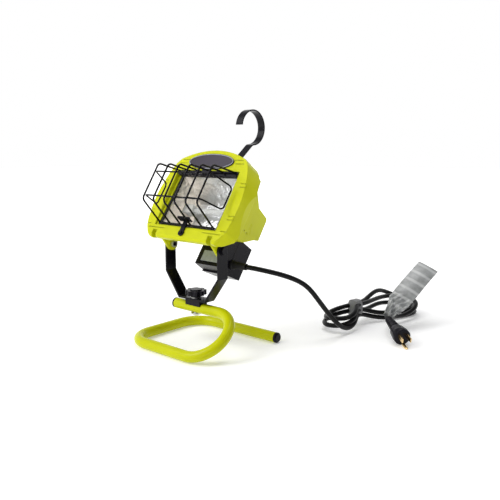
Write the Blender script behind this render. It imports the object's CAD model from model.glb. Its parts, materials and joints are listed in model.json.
"""Portable halogen work light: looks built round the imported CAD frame. Metres, the frame's own axes."""

import json
import math

import bpy
import numpy as np
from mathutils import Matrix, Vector


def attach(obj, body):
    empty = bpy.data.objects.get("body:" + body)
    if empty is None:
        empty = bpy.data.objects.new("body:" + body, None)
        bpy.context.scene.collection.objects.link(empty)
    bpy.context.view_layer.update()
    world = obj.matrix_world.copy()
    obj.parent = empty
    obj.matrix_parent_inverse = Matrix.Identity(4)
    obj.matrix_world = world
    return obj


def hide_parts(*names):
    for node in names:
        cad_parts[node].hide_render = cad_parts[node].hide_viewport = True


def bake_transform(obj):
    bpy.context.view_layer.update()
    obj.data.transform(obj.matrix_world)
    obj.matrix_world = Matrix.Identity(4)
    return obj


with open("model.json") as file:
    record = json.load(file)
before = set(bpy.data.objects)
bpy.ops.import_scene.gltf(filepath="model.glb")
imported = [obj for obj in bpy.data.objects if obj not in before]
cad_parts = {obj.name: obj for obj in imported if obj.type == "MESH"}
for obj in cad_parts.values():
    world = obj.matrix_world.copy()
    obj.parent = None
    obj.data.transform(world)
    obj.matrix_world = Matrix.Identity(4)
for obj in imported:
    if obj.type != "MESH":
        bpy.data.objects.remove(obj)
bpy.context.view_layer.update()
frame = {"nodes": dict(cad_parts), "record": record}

# ---- the CAD's own coordinates, millimetres in and metres out ----

CENTRE = Vector((4.3, 38.75, 0.0))
PIVOT_Z = 148.0
PIVOT_BACK, PIVOT_DOWN = 32, 60
TILT = math.radians(34.7)


def at(x, y, z):
    """A point given from the yoke's swivel axis on the floor."""
    return (Vector((x, y, z)) - CENTRE) / 1000


def in_head(x, w, u):
    """A point on the lamp head: x across, w back from the window, u up along it."""
    c, s = math.cos(TILT), math.sin(TILT)
    w -= PIVOT_BACK
    u += PIVOT_DOWN
    return at(x, u * s + w * c, PIVOT_Z + u * c - w * s)


HANK_AT = (139, 283)
HANK_TURN = math.radians(79.6)


def in_hank(a, b, z):
    """A point on the coiled cord: a along the coil away from the lamp, b across it."""
    c, s = math.cos(HANK_TURN), math.sin(HANK_TURN)
    return at(HANK_AT[0] + a * c - b * s, HANK_AT[1] + a * s + b * c, z)


PLUG_AT = (242, 193, 13.2)
PLUG_TURN = math.radians(-40)
PLUG_DIP = math.radians(12)
PLUG_TAIL = -56


def in_plug(x, y, z):
    """A point on the plug: x out along its blades from the face they leave."""
    c, s = math.cos(PLUG_TURN), math.sin(PLUG_TURN)
    out = x * math.cos(PLUG_DIP) + z * math.sin(PLUG_DIP)
    up = z * math.cos(PLUG_DIP) - x * math.sin(PLUG_DIP)
    return at(PLUG_AT[0] + out * c - y * s, PLUG_AT[1] + out * s + y * c, PLUG_AT[2] + up)


# ---- meshes ----


def new_mesh(name, verts, faces):
    mesh = bpy.data.meshes.new(name)
    mesh.from_pydata([tuple(v) for v in verts], [], faces)
    mesh.validate()
    mesh.shade_smooth()
    obj = bpy.data.objects.new(name, mesh)
    bpy.context.scene.collection.objects.link(obj)
    return obj


def spline(points, step=0.003):
    """A smooth line through the points, evenly close together."""
    pts = [Vector(p) for p in points]
    ends = [2 * pts[0] - pts[1], *pts, 2 * pts[-1] - pts[-2]]
    made = []
    for i in range(1, len(ends) - 2):
        p0, p1, p2, p3 = ends[i - 1 : i + 3]
        k0 = max((p1 - p0).length, 1e-5) ** 0.5
        k1 = max((p2 - p1).length, 1e-5) ** 0.5
        k2 = max((p3 - p2).length, 1e-5) ** 0.5
        m1 = (p2 - p1) + k1 * ((p1 - p0) / k0 - (p2 - p0) / (k0 + k1))
        m2 = (p2 - p1) + k1 * ((p3 - p2) / k2 - (p3 - p1) / (k1 + k2))
        n = max(2, round((p2 - p1).length / step))
        for j in range(n):
            t = j / n
            h = (2 * t**3 - 3 * t**2 + 1, t**3 - 2 * t**2 + t, -2 * t**3 + 3 * t**2, t**3 - t**2)
            made.append(h[0] * p1 + h[1] * m1 + h[2] * p2 + h[3] * m2)
    made.append(pts[-1])
    return made


def relaxed(line, rounds, keep=5):
    """The line with its tight turns eased. Its ends stay where they are."""
    pts = np.array([tuple(p) for p in line])
    for _ in range(rounds):
        before, after = pts[keep - 1 : -keep - 1], pts[keep + 1 : len(pts) - keep + 1]
        pts[keep:-keep] += 0.25 * (before + after - 2 * pts[keep:-keep])
    return [Vector(p) for p in pts]


def rounded(points, radius, steps=6, closed=False):
    """A line whose corners are turned into arcs."""
    pts = [Vector(p) for p in points]
    n = len(pts)
    made = [] if closed else [pts[0]]
    for i in range(0 if closed else 1, n if closed else n - 1):
        p, q, r = pts[i - 1], pts[i], pts[(i + 1) % n]
        u, v = (p - q).normalized(), (r - q).normalized()
        half = u.angle(v) / 2
        cut = min(radius / math.tan(half), 0.45 * min((p - q).length, (r - q).length))
        real = cut * math.tan(half)
        middle = q + (u + v).normalized() * (real / math.sin(half))
        a, b = q + u * cut - middle, q + v * cut - middle
        turn = a.angle(b)
        for k in range(steps + 1):
            f = k / steps
            w = (math.sin((1 - f) * turn) * a + math.sin(f * turn) * b) / math.sin(turn)
            made.append(middle + w)
    if not closed:
        made.append(pts[-1])
    return made


def tube(name, line, radius, sides=14, closed=False):
    """A round tube along a line of points."""
    n = len(line)
    tangents = []
    for i in range(n):
        a = line[i - 1] if (i or closed) else line[i]
        b = line[(i + 1) % n] if (i < n - 1 or closed) else line[i]
        tangents.append((b - a).normalized())
    side = tangents[0].orthogonal().normalized()
    verts, faces = [], []
    for p, t in zip(line, tangents):
        side = (side - t * side.dot(t)).normalized()
        other = t.cross(side)
        for k in range(sides):
            turn = 2 * math.pi * k / sides
            verts.append(p + radius * (math.cos(turn) * side + math.sin(turn) * other))
    rings = n if closed else n - 1
    shift = 0
    if closed:
        last = verts[-sides:]
        first = verts[:sides]
        shift = min(range(sides), key=lambda s: (first[s] - last[0]).length)
    for i in range(rings):
        a, b = i * sides, ((i + 1) % n) * sides
        move = shift if closed and i == n - 1 else 0
        for k in range(sides):
            k2 = (k + 1) % sides
            faces.append((a + k, a + k2, b + (k2 + move) % sides, b + (k + move) % sides))
    if not closed:
        faces.append(tuple(range(sides))[::-1])
        faces.append(tuple((n - 1) * sides + k for k in range(sides)))
    return new_mesh(name, verts, faces)


def loft(name, rings, place):
    """A closed skin over rings of points, each placed by place(x, y, z)."""
    n = len(rings[0])
    verts = [place(*p) for ring in rings for p in ring]
    faces = []
    for i in range(len(rings) - 1):
        for k in range(n):
            k2 = (k + 1) % n
            faces.append((i * n + k, i * n + k2, (i + 1) * n + k2, (i + 1) * n + k))
    faces.append(tuple(range(n))[::-1])
    faces.append(tuple((len(rings) - 1) * n + k for k in range(n)))
    return new_mesh(name, verts, faces)


def superellipse(x, ry, rz, power, n=40, middle_z=0):
    """A ring of points across x. A power of 2 is an ellipse and more is squarer."""
    ring = []
    for k in range(n):
        t = 2 * math.pi * k / n
        c, s = math.cos(t), math.sin(t)
        y = ry * math.copysign(abs(c) ** (2 / power), c)
        z = rz * math.copysign(abs(s) ** (2 / power), s)
        ring.append((x, y, middle_z + z))
    return ring


# ---- materials ----

LIME = (0.55, 0.578, 0.004)
WORN_LIME = (0.7, 0.75, 0.2, 1)
DUST = (0.45, 0.43, 0.4, 1)
WARM_METAL = (0.95, 0.83, 0.7, 1)
PALE_BAND = (0.78, 0.79, 0.79, 1)
BAND_RATE = 330.0
TAG_ALONG = Vector((0.136, 0.8488, 0.5109))


def shader(tree, kind, inputs, **settings):
    """A new shader node. Each input is a plain value or another node's output."""
    made = tree.nodes.new(kind)
    for key, value in settings.items():
        setattr(made, key, value)
    for socket, value in inputs.items():
        if isinstance(value, bpy.types.NodeSocket):
            tree.links.new(value, made.inputs[socket])
        else:
            made.inputs[socket].default_value = value
    return made


def coordinates(tree):
    return shader(tree, "ShaderNodeTexCoord", {}).outputs["Object"]


def facing(tree):
    return shader(tree, "ShaderNodeNewGeometry", {}).outputs["Normal"]


def part_of(tree, vector, axis):
    return shader(tree, "ShaderNodeSeparateXYZ", {"Vector": vector}).outputs[axis]


def ranged(tree, value, low, high, to_low=0.0, to_high=1.0):
    """A value moved from one range to another and held inside it."""
    ends = {"From Min": low, "From Max": high, "To Min": to_low, "To Max": to_high}
    return shader(tree, "ShaderNodeMapRange", {"Value": value, **ends}).outputs["Result"]


def product(tree, a, b):
    return shader(tree, "ShaderNodeMath", {0: a, 1: b}, operation="MULTIPLY").outputs["Value"]


def mixed(tree, fac, base, colour):
    """A base colour with another laid over it."""
    inputs = {"Fac": fac, "Color1": base, "Color2": colour}
    return shader(tree, "ShaderNodeMixRGB", inputs).outputs["Color"]


def overlay(m, fac, colour):
    """Lays a colour over what a material already has."""
    base = m.node_tree.nodes["Principled BSDF"].inputs["Base Color"]
    m.node_tree.links.new(mixed(m.node_tree, fac, base.links[0].from_socket, colour), base)


def material(name, colour, rough=0.4, metal=0.0, vary=0.06, rough_vary=0.08, scale=35.0, bump=0.02,
        bump_scale=400.0, edge=0.0, wear=0.0, coat=0.0, alpha=1.0, specular=0.5, dust=0.0):
    """A painted, moulded or metal finish whose colour, roughness and surface vary a little."""
    m = bpy.data.materials.new(name)
    m.use_nodes = True
    tree = m.node_tree
    bsdf = tree.nodes["Principled BSDF"]
    bsdf.inputs["Metallic"].default_value = metal
    bsdf.inputs["Coat Weight"].default_value = coat
    bsdf.inputs["Coat Roughness"].default_value = 0.08
    bsdf.inputs["Specular IOR Level"].default_value = specular
    bsdf.inputs["Alpha"].default_value = alpha
    coords = coordinates(tree)
    broad, fine = [
        shader(tree, "ShaderNodeTexNoise", {"Vector": coords, "Scale": size, "Detail": fold}).outputs["Fac"]
        for size, fold in ((scale, 5), (bump_scale, 3))
    ]
    ramp = shader(tree, "ShaderNodeValToRGB", {"Fac": broad})
    for stop, position, factor in zip(ramp.color_ramp.elements, (0.3, 0.7), (1 - vary, 1 + vary)):
        stop.position = position
        stop.color = (*[min(1, c * factor) for c in colour], 1)
    out = ramp.outputs["Color"]
    if dust:
        settled = ranged(tree, part_of(tree, facing(tree), "Z"), 0.2, 1.0, 0.0, dust)
        out = mixed(tree, product(tree, settled, broad), out, DUST)
    normal = None
    if edge:
        normal = shader(tree, "ShaderNodeBevel", {"Radius": edge}, samples=6).outputs["Normal"]
        if wear:
            sides = {0: facing(tree), 1: normal}
            turned = shader(tree, "ShaderNodeVectorMath", sides, operation="DOT_PRODUCT")
            rubbed = ranged(tree, turned.outputs["Value"], 0.97, 0.8, 0.0, wear)
            out = mixed(tree, product(tree, rubbed, fine), out, WORN_LIME)
    tree.links.new(out, bsdf.inputs["Base Color"])
    dullness = ranged(tree, broad, 0, 1, max(0.02, rough - rough_vary), min(1, rough + rough_vary))
    tree.links.new(dullness, bsdf.inputs["Roughness"])
    if bump:
        relief = shader(tree, "ShaderNodeBump", {"Strength": bump, "Distance": 0.001, "Height": fine})
        if normal:
            tree.links.new(normal, relief.inputs["Normal"])
        normal = relief.outputs["Normal"]
    if normal:
        tree.links.new(normal, bsdf.inputs["Normal"])
    return m


def dimpled():
    """Pressed aluminium: small dimples over long ripples, warmer where it faces +X."""
    m = material("bright_aluminium", (0.88, 0.885, 0.89), 0.3, metal=1, vary=0.1, scale=60, bump=0)
    tree = m.node_tree
    coords = coordinates(tree)
    cells = shader(tree, "ShaderNodeTexVoronoi", {"Vector": coords}, feature="SMOOTH_F1")
    cells.inputs["Scale"].default_value = 240
    cells.inputs["Randomness"].default_value = 0.8
    ripple = shader(tree, "ShaderNodeTexNoise", {"Vector": coords, "Scale": 60, "Detail": 2})
    dimples = {"Strength": 1.0, "Distance": 0.0006, "Height": cells.outputs["Distance"]}
    waves = {"Strength": 0.8, "Distance": 0.002, "Height": ripple.outputs["Fac"]}
    waves["Normal"] = shader(tree, "ShaderNodeBump", dimples).outputs["Normal"]
    relief = shader(tree, "ShaderNodeBump", waves).outputs["Normal"]
    tree.links.new(relief, tree.nodes["Principled BSDF"].inputs["Normal"])
    overlay(m, ranged(tree, part_of(tree, facing(tree), "X"), 0.1, 0.8), WARM_METAL)
    return m


def banded():
    """Thin clouded film with pale bands across it and creases."""
    m = material("tag_film", (0.3, 0.31, 0.31), 0.24, vary=0.3, scale=70, bump=0.5, bump_scale=90,
        alpha=0.86, specular=0.6)
    tree = m.node_tree
    run = shader(tree, "ShaderNodeVectorMath", {0: coordinates(tree), 1: TAG_ALONG}, operation="DOT_PRODUCT")
    cycle = product(tree, run.outputs["Value"], BAND_RATE)
    wave = shader(tree, "ShaderNodeMath", {0: cycle}, operation="SINE").outputs["Value"]
    overlay(m, ranged(tree, wave, 0.4, 0.95, 0.0, 0.4), PALE_BAND)
    return m


# each finish: name, colour, roughness and what else sets it apart
FINISH = {name: material(name, colour, rough, **extra) for name, colour, rough, extra in (
    ("lime_paint", LIME, 0.22, {"vary": 0.04, "bump": 0.05, "bump_scale": 260, "coat": 0.06,
        "specular": 0.1}),
    ("lime_casting", LIME, 0.3, {"vary": 0.05, "bump": 0.12, "bump_scale": 420, "edge": 0.0016,
        "wear": 0.35, "specular": 0.1}),
    ("black_plastic", (0.005, 0.0042, 0.008), 0.27, {"bump": 0.1, "bump_scale": 900, "edge": 0.0007,
        "dust": 0.008, "specular": 0.15}),
    ("black_steel", (0.004, 0.0036, 0.0062), 0.2, {"bump": 0.06, "bump_scale": 500, "edge": 0.0005,
        "dust": 0.005, "specular": 0.14}),
    ("zinc_steel", (0.62, 0.62, 0.6), 0.3, {"metal": 1, "bump": 0.05, "edge": 0.0003}),
    ("black_rubber", (0.007, 0.007, 0.008), 0.6, {"bump": 0.15, "dust": 0.05, "specular": 0.3}),
    ("clear_glass", (0.8, 0.86, 0.84), 0.04, {"vary": 0.02, "rough_vary": 0.015, "bump": 0,
        "alpha": 0.06, "specular": 0.8}),
    ("white_ceramic", (0.78, 0.76, 0.7), 0.5, {"bump": 0.1, "edge": 0.0006}),
    ("bulb_glass", (0.86, 0.86, 0.83), 0.15, {"bump": 0.02, "alpha": 0.75}),
    ("wire_sleeve", (0.7, 0.66, 0.55), 0.6, {"bump": 0.2}),
    ("brass_part", (0.78, 0.56, 0.27), 0.24, {"metal": 1, "bump": 0.05, "edge": 0.0003}),
    ("badge_plastic", (0.016, 0.008, 0.026), 0.3, {"bump": 0.03, "coat": 0.15, "edge": 0.0004,
        "specular": 0.3}),
    ("silver_label", (0.36, 0.38, 0.42), 0.5, {"metal": 0.1, "bump": 0.1, "vary": 0.15, "scale": 200}),
    ("wire_nut_plastic", (0.85, 0.3, 0.03), 0.4, {"bump": 0.05}),
    ("cord_jacket", (0.004, 0.004, 0.0045), 0.3, {"bump": 0.12, "bump_scale": 700, "dust": 0.008,
        "specular": 0.16}),
    ("tie_plastic", (0.2, 0.2, 0.205), 0.45, {"bump": 0.2, "bump_scale": 900}),
)}
FINISH["tag_film"] = banded()
FINISH["bright_aluminium"] = dimpled()


def finish(obj, slot):
    """Gives a piece the material of its slot."""
    obj.data.materials.clear()
    obj.data.materials.append(FINISH[slot])


# ---- CAD nodes: every one takes its slot's finish ----

for part in frame["record"]["subparts"]:
    if part["node"] in frame["nodes"]:
        finish(frame["nodes"][part["node"]], part["material_slot"])

# ---- mains cord ----

CORD_R = 0.0038
LEAD_START = (53, 55, 116)
LEAD_END = (143, 150, 35.5)
WAIST_AT = -42
LAYER = 8.4
FLOOR_STRAND = 4.4


def bump_at(a, middle, width):
    return math.exp(-(((a - middle) / width) ** 2))


def lifted(a):
    """How far the tie holds the strands off the floor."""
    return 15 * bump_at(a, WAIST_AT, 34)


# the strands' places along and across the coil, going out and coming back
FRONT = [(-81, -27), (-67, -23), (-54, -12.5), (-42, -4.8), (-28, -5.4), (-8, -10), (16, -17),
    (42, -23.5), (63, -27), (80, -27.4), (98.5, -19.8)]
BACK = [(98.5, 19.8), (80, 27.4), (63, 27), (43, 24), (17, 18), (-7, 11), (-28, 5.4), (-42, 4.8),
    (-54, 12.5), (-67, 23), (-80, 27.4), (-98, 19.6)]

route = [at(*p) for p in [
    LEAD_START, (63, 55, 116), (72.5, 56.8, 115.4), (83, 61.8, 113.6), (94, 70.5, 110.3),
    (107, 85, 104.5), (119, 99, 96.5), (127, 111, 87), (134, 121, 71), (139, 134, 54), LEAD_END,
    (146.5, 162, 22.5), (148.5, 177, 12.5), (149.5, 192, 6.5)]]
for k in range(2):
    slim = (1.0, 0.99)[k]
    level = LAYER * k
    for a, b in FRONT[1 if k == 0 else 0 :]:
        inset = 2.5 * k * (a > 90)
        route.append(in_hank(a - inset, b * slim, FLOOR_STRAND + level + lifted(a)))
    route.append(in_hank(107 - 2 * k, 0, 6 + level))
    for a, b in BACK:
        inset = 2.5 * k * (a > 90) - 3.5 * k * (a < -90)
        arch = (9 + 17 * k) * bump_at(a, 40, 52)
        route.append(in_hank(a - inset, b * slim, LAYER + level + lifted(a) + arch))
    route.append(in_hank(-107.5 + 3 * k, 0, 10.8 + 12 * k))
    route.append(in_hank(-97 + 3 * k, -19.4 * slim, 11.8 + 11 * k))
for a, b in FRONT[:4]:
    route.append(in_hank(a, b * 0.99, 21.2 + lifted(a)))
# the last strand crosses the coil, turns back at its far end and runs to the plug
route += [in_hank(*p) for p in [
    (-28, -4.8, 35), (-8, -1, 34.5), (16, 6, 34), (36, 11, 33), (52, 13.5, 32), (67, 13.5, 31),
    (82, 10, 30), (92.5, 0, 28.5), (95.5, -13, 26.5), (90, -27, 23.5), (78, -36, 20), (63, -39.5, 15.5),
    (48, -40, 12), (33, -40, 10.6), (18, -40, 12), (3, -41.5, 15.5), (-10, -45.5, 19.5),
    (-22, -52, 22.8), (-33, -60.5, 24.6)]]
route += [in_plug(PLUG_TAIL, 0, 0), in_plug(PLUG_TAIL + 6, 0, 0)]

cord_line = relaxed(spline(route), 30)
cord = tube("mains_cord", cord_line, CORD_R, 16)
finish(cord, "cord_jacket")
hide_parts("cord_lead", "cord_hank")
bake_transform(cord)

# ---- plug ----

# each ring: place along the plug, half width, half height and squareness
RIB_STEP = 4.0
profile = [(PLUG_TAIL, 4.5, 4.5, 2.0)]
for i in range(7):
    start = -54.6 + RIB_STEP * i
    groove = 5.0 + 0.35 * i
    rib = groove + 0.9
    profile += [(start + dx, r, r, 2.0) for dx, r in ((0, groove), (0.3, rib), (2.2, rib), (2.5, groove))]
profile += [(-26.4, 7.6, 7.4, 2.1), (-24, 9.4, 8.2, 2.3), (-20, 11.2, 8.9, 2.6), (-14, 12.0, 9.6, 2.7),
    (-9.5, 12.3, 10.6, 2.6), (-7.6, 12.8, 12.4, 2.2), (-6.6, 12.9, 12.9, 2.0), (0.8, 12.9, 12.9, 2.0),
    (1.7, 12.5, 12.5, 2.0), (2.0, 11.8, 11.8, 2.0)]
plug = loft("plug_moulding", [superellipse(*p) for p in profile], in_plug)
finish(plug, "black_plastic")
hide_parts("plug_body")
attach(plug, "yoke")

# ---- tie round the coil ----

# each ring: place along the coil and how far it stands off the strands
band = [
    superellipse(a, 9.2 + off, 13.6 + off, 2 / 0.6, n=48, middle_z=28.6)
    for a, off in ((-49, 0.6), (-48.6, 1.2), (-35.4, 1.2), (-35, 0.6))
]
tie = loft("cord_tie_band", band, in_hank)
finish(tie, "tie_plastic")
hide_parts("cord_tie")
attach(tie, "yoke")

# ---- tag ----

TAG_FOOT = Vector((194.0, 234.5, 25.5))
TAG_KNEE = Vector((198.8, 264.3, 47.5))
TAG_ACROSS = Vector((0.9174, 0.0869, -0.3885))
TAG_OFF = TAG_ACROSS.cross(TAG_ALONG)
TAG_HALF, TAG_REACH = 18, 92
KNEE = 0.3
ROWS, COLUMNS = 70, 28


def tag_point(s, t):
    """A point on the tag: s from 0 at its foot to 1, t from -1 to 1 across. The foot is crushed."""
    foot = min(1.0, s / KNEE)
    upper = max(0.0, (s - KNEE) / (1 - KNEE))
    spine = TAG_FOOT.lerp(TAG_KNEE, foot) + TAG_ALONG * (TAG_REACH * upper)
    spread = 0.42 + 0.58 * foot**1.5
    crush = max(0.0, 1 - s / 0.42)
    bend = 3.0 * math.sin(2.6 * upper) - 1.5 * t * t
    fold = crush * (3.4 * math.sin(6 * t + 23 * s) + 1.9 * math.sin(13 * t - 41 * s + 1))
    fold += 0.25 * math.sin(17 * s + 2.1 * t)
    p = spine + TAG_ACROSS * (TAG_HALF * t * spread) + TAG_OFF * (bend + fold)
    return at(p.x, p.y, max(p.z, 1.0))


verts = [tag_point(i / ROWS, 2 * j / COLUMNS - 1) for i in range(ROWS + 1) for j in range(COLUMNS + 1)]
faces = []
for i in range(ROWS):
    for j in range(COLUMNS):
        corner = i * (COLUMNS + 1) + j
        faces.append((corner, corner + 1, corner + COLUMNS + 2, corner + COLUMNS + 1))
tag = new_mesh("cord_tag_film", verts, faces)
thick = tag.modifiers.new("thickness", "SOLIDIFY")
thick.thickness = 0.0003
finish(tag, "tag_film")
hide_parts("cord_tag")
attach(tag, "yoke")

# ---- guard ----

WIRE_R, RING_R = 0.0014, 0.00125
WIRE_X = (-56, -33.5, -11, 11, 33.5, 56)
# a wire's corners, back and up: hinge rod, upper bend, lower bend, bottom bar
WIRE_BENDS = ((-10.8, 44.6), (-53, 30), (-51, -30), (-4.4, -42.1))
for n, x in enumerate(WIRE_X):
    line = rounded([in_head(x, w, u) for w, u in WIRE_BENDS], 0.007, 8)
    wire = tube(f"guard_wire_{n}", line, WIRE_R)
    finish(wire, "black_steel")
    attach(wire, "guard")
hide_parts("guard_wires")
loop = [in_head(*p) for p in (
    (68.4, -13.3, 18.4), (58, -49.9, 18), (-58, -49.9, 18), (-68.4, -13.3, 18.4),
    (-68.4, -13.3, -17.8), (-57.5, -48.5, -22), (57.5, -48.5, -22), (68.4, -13.3, -17.8))]
ring = tube("guard_side_loop", rounded(loop, 0.006, 8, closed=True), RING_R, closed=True)
finish(ring, "black_steel")
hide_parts("guard_ring")
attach(ring, "guard")

# ---- badge rim ----

BADGE_LEAN = math.radians(2.6)
BADGE_W, BADGE_U = -9.06, 62.4
RIM_W, RIM_X, RIM_U = -1.7, 44.6, 12.1
RIM_STEPS = 96
lean_c, lean_s = math.cos(BADGE_LEAN), math.sin(BADGE_LEAN)
rim_line = []
for k in range(RIM_STEPS):
    turn = 2 * math.pi * k / RIM_STEPS
    up = RIM_U * math.sin(turn)
    rim_line.append(in_head(RIM_X * math.cos(turn), BADGE_W + RIM_W * lean_c - up * lean_s,
        BADGE_U + up * lean_c + RIM_W * lean_s))
rim = tube("badge_rim", rim_line, 0.00055, 10, closed=True)
finish(rim, "silver_label")
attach(rim, "head")

# ---- floor, light and camera ----

FLOOR_Z = -0.0002
HALF = 8
corners = [(x * HALF, y * HALF, FLOOR_Z) for x, y in ((-1, -1), (1, -1), (1, 1), (-1, 1))]
floor = new_mesh("floor", corners, [(0, 1, 2, 3)])
paper = bpy.data.materials.new("paper_floor")
paper.use_nodes = True
sheet = paper.node_tree
surface = sheet.nodes["Principled BSDF"]
surface.inputs["Base Color"].default_value = (0.93, 0.93, 0.93, 1)
surface.inputs["Roughness"].default_value = 0.9
surface.inputs["Emission Color"].default_value = (1, 1, 1, 1)
# the paper glows more with distance, so no horizon shows behind the light
reach = shader(sheet, "ShaderNodeVectorMath", {0: coordinates(sheet)}, operation="LENGTH")
glow = ranged(sheet, reach.outputs["Value"], 0.45, 1.5, 0.24, 1.0)
sheet.links.new(glow, surface.inputs["Emission Strength"])
floor.data.materials.append(paper)

scene = bpy.context.scene
scene.view_settings.view_transform = "Standard"
world = bpy.data.worlds.new("studio")
scene.world = world
world.use_nodes = True
sky = world.node_tree
# white low down, greyer overhead, and dimmer on the +X side
direction = shader(sky, "ShaderNodeTexCoord", {}).outputs["Generated"]
fade = shader(sky, "ShaderNodeValToRGB", {"Fac": part_of(sky, direction, "Z")})
bands = ((0.32, (1, 1, 1, 1)), (0.85, (0.27, 0.27, 0.28, 1)))
for stop, (position, colour) in zip(fade.color_ramp.elements, bands):
    stop.position = position
    stop.color = colour
dim = ranged(sky, part_of(sky, direction, "X"), -0.15, 0.5, 1.0, 0.2)
shade = shader(sky, "ShaderNodeVectorMath", {0: fade.outputs["Color"], "Scale": dim}, operation="SCALE")
sky.links.new(shade.outputs["Vector"], sky.nodes["Background"].inputs["Color"])
sky.nodes["Background"].inputs["Strength"].default_value = 1.0


def lamp(name, spot, target, size, power):
    """A soft rectangular light aimed at a point."""
    light = bpy.data.lights.new(name, "AREA")
    light.shape = "RECTANGLE"
    light.size, light.size_y = size
    light.energy = power
    obj = bpy.data.objects.new(name, light)
    scene.collection.objects.link(obj)
    obj.location = spot
    obj.rotation_euler = (Vector(target) - Vector(spot)).to_track_quat("-Z", "Y").to_euler()


sun = bpy.data.objects.new("soft_sun", bpy.data.lights.new("soft_sun", "SUN"))
sun.data.energy = 0.9
sun.data.angle = math.radians(50)
sun.rotation_euler = (math.radians(42), math.radians(-12), math.radians(-20))
scene.collection.objects.link(sun)
lamp("key_light", (-0.7, -1.1, 1.2), (0, 0, 0.15), (0.7, 0.7), 9)
lamp("side_light", (1.3, 0.1, 0.9), (0, 0, 0.15), (0.4, 0.8), 0.9)
lamp("top_light", (0.0, 0.3, 1.6), (0, 0, 0.1), (0.9, 0.9), 9)

camera = bpy.data.objects.new("camera", bpy.data.cameras.new("camera"))
scene.collection.objects.link(camera)
scene.camera = camera
camera.data.lens = 43.4
camera.data.sensor_width = 36
camera.location = (0.6337, -0.65375, 0.291)
camera.rotation_euler = (math.radians(80.5), 0, math.radians(40.8))
